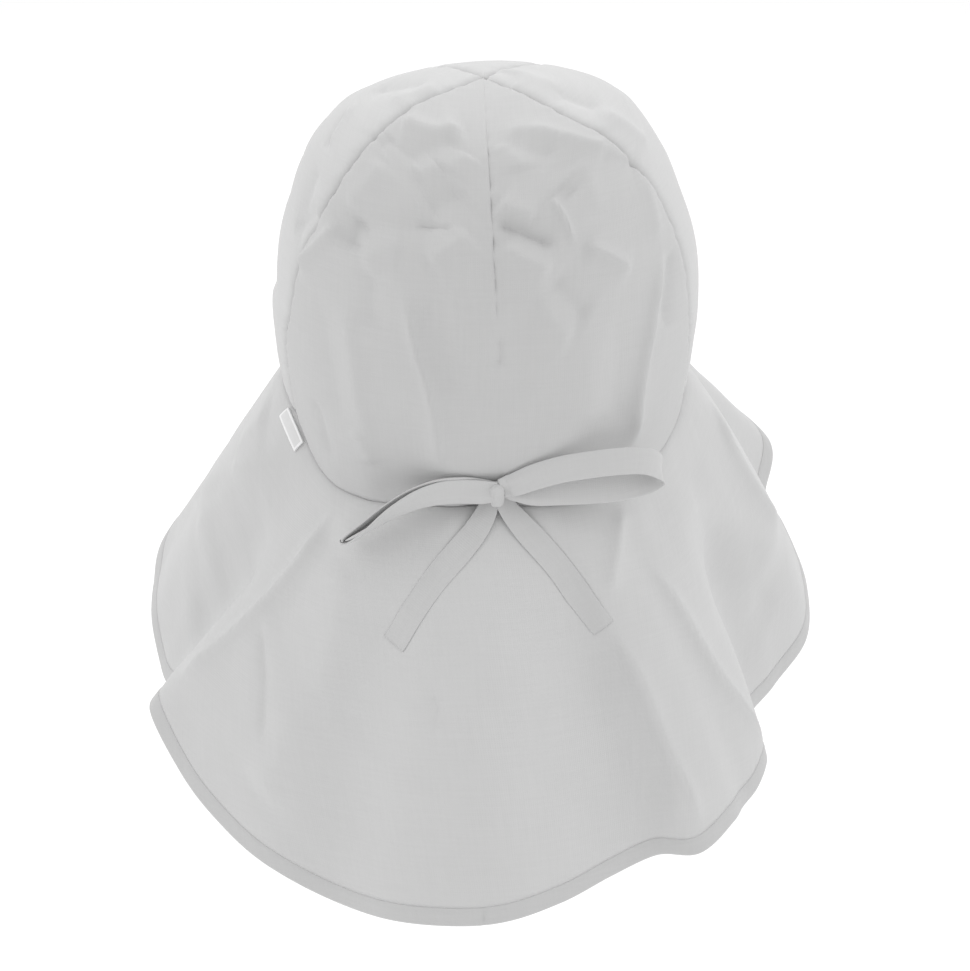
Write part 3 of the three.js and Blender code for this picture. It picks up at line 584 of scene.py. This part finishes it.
# Hem. The flap's raw edge is turned up twice and stitched down, which makes a band of doubled
# cloth 7 mm wide along the whole edge, with a join at the middle of the back.
HEM_THICKNESS = 1.8
HEM_STITCH = 0.14  # of the band's width, from its upper edge to the stitches
HEM_JOIN = 28.9  # along the flat hem from its middle
# A darker copy of the same cotton for the hem band: painted shade, standing in for the shade on the band
# where it tilts down.
hem_cotton = cotton_material("hem_cotton", (0.56, 0.56, 0.56))
across = np.linspace(0, 1, 13)[None, :]
fold_grid = np.linspace(0, LAST_FOLD, FLAP_COLUMNS * 2)[:, None]
band = band_start(fold_grid)
gap = HEM_GAP / 2 / np.interp(fold_grid, places, lengths)
start = band + gap
points, flat = flap_points(fold_grid, start + (1 - start) * across)
swell = HEM_THICKNESS * (0.62 + 0.38 * np.sqrt(np.clip(1 - (2 * across - 1) ** 6, 0, 1)))
along = flat[..., 0]
swell = swell - 0.35 * np.exp(-(((across - HEM_STITCH) * HEM_WIDTH / 0.4) ** 2))
swell = swell - 1.2 * np.exp(-(((along - HEM_JOIN) / 0.45) ** 2))
swell = swell + 0.12 * np.sin(along / 1.6) * np.sin(along / 6.3) * np.sin(across * math.pi)
hem = cloth_piece("hem", points, swell, flat, hem_cotton)
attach(hem, "root")
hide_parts("hem_band")

# Peak. A short plain visor of layers of the same cotton, sewn together by rows of stitches that
# follow its outer edge, and sewn to the front rim between the flap's two ends.
PEAK_DEPTH = 55
PEAK_END_DEPTH = 7
PEAK_THICKNESS = 2.4
PEAK_SLOPE = math.radians(24)
PEAK_HALF = 47.4  # degrees from its middle to an end
PEAK_ROUNDNESS = 0.75
PEAK_FLAT_HALF = 75  # along the flat peak from its middle to an end
PEAK_STITCHES = (4, 14, 24, 34)  # from its outer edge


def peak_form(turn, down):
    """The middle of the peak in mm: turn from -1 to 1 round the front, down 0, rim, to 1, edge.

    Its depth is the end depth plus (1 - turn^2)^roundness of the rest. It slopes down by 24 degrees,
    less at the rim than at the edge.
    """
    angle = 180 + turn * PEAK_HALF
    share = np.clip(1 - turn**2, 0, 1) ** PEAK_ROUNDNESS
    depth = down * (PEAK_END_DEPTH + (PEAK_DEPTH - PEAK_END_DEPTH) * share)
    out = unit(np.stack([np.sin(np.radians(angle)) * 0.75, np.cos(np.radians(angle)), 0 * angle], -1))
    points = crown_form(angle, np.ones_like(angle)) + out * (depth * math.cos(PEAK_SLOPE))[..., None]
    points[..., 2] -= SEAM_GAP + PEAK_THICKNESS / 2 + depth * math.sin(PEAK_SLOPE) * (0.75 + 0.25 * down)
    return points, depth


turn = np.linspace(-1, 1, 200)[:, None] + np.zeros((1, 70))
down = np.zeros((200, 1)) + np.linspace(0, 1, 70)[None, :]
points, depth = peak_form(turn, down)
edge = depth[:, -1:] - depth
grooves = sum(np.exp(-(((edge - at) / 0.5) ** 2)) for at in PEAK_STITCHES)
rounded = np.clip(0.35 + 0.65 * np.sqrt(np.clip(edge / 1.6, 0, 1)), 0, 1)
swell = PEAK_THICKNESS * rounded - 0.45 * grooves
flat = np.stack([turn * PEAK_FLAT_HALF, depth], -1)
points = points + outward(points) * (ripples(flat, 26, 0.3) * ease(depth, 2, 15))[..., None]
peak = cloth_piece("rim_peak", points, swell, flat, cotton)
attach(peak, "root")
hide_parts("peak")

# Tie. A narrow strap of the cotton, folded and sewn flat, comes out of the rim seam at the nape
# and is tied in a bow: a small tight knot, two loops and two tails that lie on the flap.
TIE_WIDTH = 10
TIE_THICKNESS = 1.1
TIE_GAP = 0.4  # from the crown to the knot
KNOT_SIZE = (5.4, 11, 5.6)  # across, up and out
KNOT_ANGLE = -4
KNOT_ABOVE_RIM = 7
tie_cotton = cotton_material("tie_cotton", (0.58, 0.58, 0.58))

knot_level = 1 - KNOT_ABOVE_RIM * (1 - DOME_SHARE) / (RIM_DROP - DOME_HEIGHT)
above, below = (crown_form(KNOT_ANGLE, knot_level + shift) for shift in (-0.01, 0.01))
knot_up = unit(above - below)
knot_side = np.array([-math.cos(math.radians(KNOT_ANGLE)), math.sin(math.radians(KNOT_ANGLE)), 0])
knot_out = unit(np.cross(knot_side, knot_up))
knot_place = crown_form(KNOT_ANGLE, knot_level) + knot_out * (CLOTH / 2 + TIE_GAP + KNOT_SIZE[2] / 2)


def tube_piece(name, rings, material):
    """A closed tube through rings of corners in mm, capped at both ends with rows of quads.

    Its UV runs round the ring and along the tube, in metres of cloth.
    """
    count, corners = rings.shape[:2]
    at = np.arange(count * corners).reshape(count, corners)
    beside = np.roll(at, -1, axis=1)
    wall = np.stack([at[:-1], beside[:-1], beside[1:], at[1:]], -1).reshape(-1, 4)
    k = np.arange(corners // 2 - 1)
    cap = np.stack([k, corners - 1 - k, corners - 2 - k, k + 1], -1)
    quads = np.concatenate([wall, cap, cap[:, ::-1] + at[-1, 0]])
    around = np.linalg.norm(np.diff(rings, axis=1, prepend=rings[:, -1:]), axis=-1).cumsum(axis=1)
    steps = np.linalg.norm(np.diff(rings.mean(axis=1), axis=0), axis=1)
    run = np.concatenate([[0], steps.cumsum()])[:, None] + np.zeros((1, corners))
    uv = np.stack([around, run], -1).reshape(-1, 2) * MM
    return mesh_piece(name, rings.reshape(-1, 3) * MM, quads, uv, material)


def squared(v, power):
    """A cosine or sine to a power below 1, with its sign kept, which squares off a round outline."""
    return np.sign(v) * np.abs(v) ** power


def flat_ring(corners):
    """The outline of a flat strap: cos and sin of an even turn, squared off."""
    turn = (np.arange(corners) + 0.5) / corners * 2 * math.pi
    return squared(np.cos(turn), 0.7), squared(np.sin(turn), 0.45)


LOOP_ROWS = 190
# Stations of each loop's middle line, out from the knot and back to it: to the right as seen from
# behind, up and out in mm from the knot, lean from upright in degrees, and width as a share
RIGHT_LOOP = np.array([
    (1.5, 2.8, 0.9, 10, 0.75), (6.6, 4.7, 1.8, -6, 0.86), (13.9, 8.1, 2.4, -13, 0.95),
    (23.7, 11.2, 2.7, -16, 0.98), (34.6, 13.0, 2.2, -18, 0.99), (44.1, 13.8, 1.2, -18, 1),
    (52.2, 13.4, -0.4, -16, 0.99), (57.4, 11.2, -3.4, -14, 0.97), (59.8, 7.8, -7, -12, 0.95),
    (58.5, 4.3, -9.2, -16, 0.94), (53.7, 2.1, -8.6, -24, 0.96), (45.1, 1.5, -4.6, -18, 1),
    (34.8, 1.1, -1.8, -10, 1), (23.8, 0.6, -0.8, -6, 0.98), (13.9, -0.0, -0.6, -4, 0.9),
    (6.6, 0.4, -0.8, 0, 0.7), (2.2, 1.2, -0.8, 0, 0.5),
])
LEFT_LOOP = np.array([
    (0.4, 1.5, 1.4, 8, 0.85), (-6.2, 1.3, 1.2, 4, 0.97), (-13.5, 1.6, 1.3, 6, 0.98),
    (-20.8, 1.2, 1.2, 13, 1),
    (-28.9, -1.1, 0.8, 26, 1), (-38.4, -6.5, -0.2, 43, 1), (-48.0, -13.9, -2.4, 63, 1),
    (-54.0, -18.4, -4.2, 72, 1), (-56.6, -18.8, -5.0, 68, 1), (-54.8, -16.7, -5.0, 62, 1),
    (-48.1, -11.8, -4.4, 55, 1), (-39.9, -5.7, -3.5, 49, 1), (-31.1, 0.0, -2.7, 44, 1),
    (-22.3, 3.1, -2.4, 38, 0.97), (-13.5, 3.5, -2, 30, 0.88), (-6.2, 2.7, -1.4, 18, 0.72),
    (-0.3, 2.1, -0.8, 10, 0.5),
])


def loop_rings(stations):
    """A loop's strap in mm along its stations, sewn along both edges, with creases at the knot.

    The strap's width w goes across, at its lean from upright, and its inner edge keeps the station's
    place: the middle stands out from it by w/2 times the sine of the lean. The creases are
    0.55 sin(4c) mm high, with c from -1 to 1 across, and fade with the run r as exp(-r / 9).
    The stitches press a groove 0.12 mm deep at c = 0.72 on either side.
    """
    t = np.linspace(0, len(stations) - 1, LOOP_ROWS)
    right, up, out, lean, share = (through(stations[:, k], t) for k in range(5))
    lean = np.radians(lean)
    width = TIE_WIDTH * share
    centre = np.stack([-right, out + width / 2 * np.abs(np.sin(lean)), up], -1) + knot_place
    tangent = unit(np.gradient(centre, axis=0))
    across = np.stack([0 * t, np.sin(lean), np.cos(lean)], -1)
    across = unit(across - (across * tangent).sum(-1, keepdims=True) * tangent)
    face = np.cross(tangent, across)
    c, s = flat_ring(28)
    run = np.linalg.norm(np.diff(centre, axis=0, prepend=centre[:1]), axis=1).cumsum()
    near_knot = np.exp(-run / 9) + np.exp(-(run[-1] - run) / 9)
    crease = 0.55 * np.sin(4 * c)[None] * near_knot[:, None] + 0.15 * np.sin(run / 5)[:, None]
    edge_stitch = -0.12 * np.exp(-(((np.abs(c) - 0.72) / 0.07) ** 2))
    thick = TIE_THICKNESS / 2 * s[None] * (1 - 0.25 * np.abs(c[None]) ** 4)
    off = thick + crease + edge_stitch * np.sign(s)
    wide = across[:, None] * (width[:, None] * c / 2)[..., None]
    return centre[:, None] + wide + face[:, None] * off[..., None]


for name, node, stations in (
    ("bow_right", "tie_loop_right", RIGHT_LOOP),
    ("bow_left", "tie_loop_left", LEFT_LOOP),
):
    rings = loop_rings(stations)
    loop = tube_piece(name, rings, tie_cotton)
    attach(loop, "root")
    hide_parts(node)

# Knot. The strap passes once round itself and is pulled tight, so its upright band bulges and
# fine creases run into it from both loops.
KNOT_POWER = 0.65
KNOT_CREASES = 11
turn = np.arange(48) / 48 * 2 * math.pi
level = np.linspace(0.02, math.pi - 0.02, 40)
girth = squared(np.sin(level), KNOT_POWER)[:, None]
x = girth * squared(np.cos(turn), KNOT_POWER)[None]
z = girth * squared(np.sin(turn), KNOT_POWER)[None]
y = squared(np.cos(level), KNOT_POWER)[:, None] + 0 * x
swell = 1 + 0.05 * np.sin(KNOT_CREASES * turn + 1)[None] * np.sin(level)[:, None] ** 0.5
halves = [axis * size / 2 for axis, size in zip((knot_side, knot_up, knot_out), KNOT_SIZE)]
rings = knot_place + np.stack([x * swell, y, z * swell], -1) @ np.stack(halves)
knot = tube_piece("bow_knot", rings, tie_cotton)
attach(knot, "root")
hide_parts("tie_knot")

# Tails. The strap's two free ends come out below the knot and lie on the flap, pressed flat, so
# that they are thinner than the loops and rise and fall with the flap's folds.
TAIL_GAP = 0.03
TAIL_THICKNESS = 0.36
TAIL_START = -5  # from the rim down, so above it
# Place in folds, share of the way down, stand-off as a share of the knot's depth, width as a share
RIGHT_TAIL = np.array([
    (15.2, 0, 0.9, 0.55), (15, 0.1, 0.4, 0.7), (14.4, 0.23, 0.12, 0.9), (13.8, 0.37, 0.03, 1),
    (13.2, 0.555, 0, 1), (12.75, 0.78, 0, 1), (12.4, 1, 0, 1),
])
LEFT_TAIL = np.array([
    (15.6, 0, 0.86, 0.55), (15.75, 0.1, 0.38, 0.7), (16.15, 0.235, 0.12, 0.9), (16.65, 0.39, 0.03, 1),
    (17.1, 0.56, 0, 1), (17.5, 0.79, 0, 1), (17.8, 1, 0, 1),
])


def over_flap(fold, down, heading, shift, lift):
    """A point over the flap: along its cloth by shift, square to the heading, and lift off its middle.

    The cloth's two directions there, a per fold and b per down, give the step that makes the shift:
    it solves (a.a, a.b; a.b, b.b) times step = the shift along a and b. The point rises and falls
    with the flap's small folds.
    """
    step = 1e-3
    here = flap_form(fold, down)
    a = (flap_form(fold + step, down) - here) / step
    b = (flap_form(fold, down + step) - here) / step
    out = unit(np.cross(a, b))
    side = unit(np.cross(out, heading))
    aa, ab, bb = (a * a).sum(-1), (a * b).sum(-1), (b * b).sum(-1)
    p, q = (side * a).sum(-1) * shift, (side * b).sum(-1) * shift
    whole = aa * bb - ab * ab
    fold, down = fold + (bb * p - ab * q) / whole, down + (aa * q - ab * p) / whole
    lift = lift + flap_relief(flap_flat(fold, down), down)
    return flap_form(fold, down) + out * lift[..., None]


def tail_rings(rows, reach):
    """A tail's strap in mm, laid along its line on the flap."""
    t = np.linspace(0, 1, 70)

    def column(k, t):
        return through(rows[:, k], t * (len(rows) - 1))

    def place(t):
        fold = column(0, t)
        return fold, (TAIL_START + reach * column(1, t)) / flap_line(fold)[2]

    ahead, behind = np.minimum(t + 0.01, 1), np.maximum(t - 0.01, 0)
    heading = unit(flap_form(*place(ahead)) - flap_form(*place(behind)))
    c, s = flat_ring(20)
    lift = (CLOTH + TAIL_THICKNESS) / 2 + TAIL_GAP + KNOT_SIZE[2] * column(2, t)
    shift = TIE_WIDTH / 2 * column(3, t)[:, None] * c
    lift = lift[:, None] + TAIL_THICKNESS / 2 * s * (1 - 0.25 * np.abs(c) ** 4)
    fold, down = (v[:, None] * np.ones((1, len(c))) for v in place(t))
    return over_flap(fold, down, heading[:, None], shift, lift)


for name, node, rows, reach in (
    ("tail_right", "tie_tail_right", RIGHT_TAIL, 55),
    ("tail_left", "tie_tail_left", LEFT_TAIL, 58),
):
    tail = tube_piece(name, tail_rings(rows, reach)[:, ::-1], tie_cotton)
    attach(tail, "root")
    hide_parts(node)

# Label. A short white woven tape, folded once and caught by its two ends in the rim seam on the
# wearer's left, so that it lies on the flap. It is left bare, with its woven edges a little whiter.
LABEL_LENGTH = 17
LABEL_WIDTH = 5  # of what shows of the folded tape
LEAF = 0.3  # thickness of the tape
LABEL_EDGE = 0.9  # width of its woven edges
LABEL_START = 1.9  # below the rim, at the crown's edge
LABEL_ANGLE = 68.4  # of its middle along the rim
label_cotton = cotton_material("woven_label", (0.74, 0.74, 0.74), thread=0.0003)
tree = label_cotton.node_tree
label_uv = tree.nodes["Texture Coordinate"].outputs["UV"]
split = tree.nodes.new("ShaderNodeSeparateXYZ")
tree.links.new(label_uv, split.inputs[0])


def edge_share(value, middle, half):
    """A socket that is 1 within the label's woven edge, at half either side of the middle, in metres."""
    off = tree.nodes.new("ShaderNodeMath")
    off.operation = "SUBTRACT"
    tree.links.new(value, off.inputs[0])
    off.inputs[1].default_value = middle
    size = tree.nodes.new("ShaderNodeMath")
    size.operation = "ABSOLUTE"
    tree.links.new(off.outputs[0], size.inputs[0])
    share = tree.nodes.new("ShaderNodeMapRange")
    share.inputs["From Min"].default_value = half - LABEL_EDGE * MM
    share.inputs["From Max"].default_value = half - LABEL_EDGE * MM * 0.8
    tree.links.new(size.outputs[0], share.inputs["Value"])
    return share.outputs["Result"]


either = tree.nodes.new("ShaderNodeMath")
either.operation = "MAXIMUM"
for way, size in enumerate((LABEL_LENGTH, LABEL_WIDTH)):
    half = size / 2 * MM
    tree.links.new(edge_share(split.outputs[way], half, half), either.inputs[way])
whiter = tree.nodes.new("ShaderNodeMix")
whiter.data_type = "RGBA"
label_shader = tree.nodes["Principled BSDF"]
tree.links.new(label_shader.inputs["Base Color"].links[0].from_socket, whiter.inputs["A"])
whiter.inputs["B"].default_value = (0.9, 0.9, 0.9, 1)
tree.links.new(either.outputs[0], whiter.inputs["Factor"])
tree.links.new(whiter.outputs["Result"], label_shader.inputs["Base Color"])

label_fold = np.interp(LABEL_ANGLE, FOLDS[:, 0], np.arange(len(FOLDS)))
fold_width = np.linalg.norm(flap_form(label_fold + 0.5, 0) - flap_form(label_fold - 0.5, 0))
along = np.linspace(0, LABEL_LENGTH, 60)[:, None] + np.zeros((1, 41))
path = np.linspace(0, 2 * LABEL_WIDTH, 41)[None, :] + 0 * along
turn = np.clip((path - LABEL_WIDTH) / 0.6, -1, 1) * math.pi / 2
across = LABEL_START + np.minimum(path, 2 * LABEL_WIDTH - path)
places_on_flap = label_fold + (along / LABEL_LENGTH - 0.5) * LABEL_LENGTH / fold_width
wave = 0.2 * np.sin(along / 4) * across / LABEL_WIDTH
lift = CLOTH / 2 + 0.2 + 1.2 * LEAF - 0.65 * LEAF * np.sin(turn) + wave
lift = lift + 0.9 * TOP_TUCK * np.exp(-across / 3)
down = across / flap_line(places_on_flap)[2]
points = over_flap(places_on_flap, down, np.array([0.0, 0, -1]), 0 * along, lift)
flat = np.stack([along, path], -1)
label = cloth_piece("side_label", points[::-1], np.full(along.shape, LEAF), flat[::-1], label_cotton)
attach(label, "root")
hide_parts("label")

# Floor, soft studio light and camera. The hat is held up, so the floor lies well below it.
FLOOR_LEVEL = -0.6  # metres, as all sizes here
FLOOR_HALF = 8.0
ways = ((-1, -1), (1, -1), (1, 1), (-1, 1))
corners = [(x * FLOOR_HALF, y * FLOOR_HALF, FLOOR_LEVEL) for x, y in ways]
floor_mesh = bpy.data.meshes.new("floor")
floor_mesh.from_pydata(corners, [], [(0, 1, 2, 3)])
floor = bpy.data.objects.new("floor", floor_mesh)
bpy.context.scene.collection.objects.link(floor)
paint = bpy.data.materials.new("floor_paint")
paint.use_nodes = True
paint_shader = paint.node_tree.nodes["Principled BSDF"]
paint_shader.inputs["Base Color"].default_value = (0.5, 0.5, 0.5, 1)
paint_shader.inputs["Roughness"].default_value = 0.9
paint_shader.inputs["Emission Color"].default_value = (1, 1, 1, 1)
paint_shader.inputs["Emission Strength"].default_value = 0.54
floor_mesh.materials.append(paint)

world = bpy.data.worlds.new("studio")
bpy.context.scene.world = world
world.use_nodes = True
background = world.node_tree.nodes["Background"]
background.inputs["Color"].default_value = (1, 1, 1, 1)
background.inputs["Strength"].default_value = 0.7


LIGHT_TARGET = (0, 0, -0.1)
LIGHT_SIZE = 2.4


def soft_box(name, place, power):
    """A square area light at a place in metres, turned to the hat, with its power in watts."""
    light = bpy.data.lights.new(name, "AREA")
    light.size = LIGHT_SIZE
    light.energy = power
    lamp = bpy.data.objects.new(name, light)
    offset = np.array(LIGHT_TARGET) - np.array(place)
    flat_way = math.hypot(offset[0], offset[1])
    lamp.rotation_euler = (math.atan2(flat_way, -offset[2]), 0, math.atan2(-offset[0], offset[1]))
    lamp.location = place
    bpy.context.scene.collection.objects.link(lamp)


soft_box("box_left", (1.6, 0.3, 1.1), 13.5)
soft_box("box_right", (-1.6, 0.3, 1.1), 14.5)
soft_box("box_front", (0, -1.5, 1.3), 19)

camera_data = bpy.data.cameras.new("camera")
camera_data.lens = 142.82
camera_data.sensor_width = 36
camera = bpy.data.objects.new("camera", camera_data)
camera.location = (-0.0006, 1.3952, 0.3709)
camera.rotation_euler = (math.radians(90 - 20.92), 0, math.pi)
bpy.context.scene.collection.objects.link(camera)
bpy.context.scene.camera = camera
bpy.context.scene.view_settings.view_transform = "Standard"
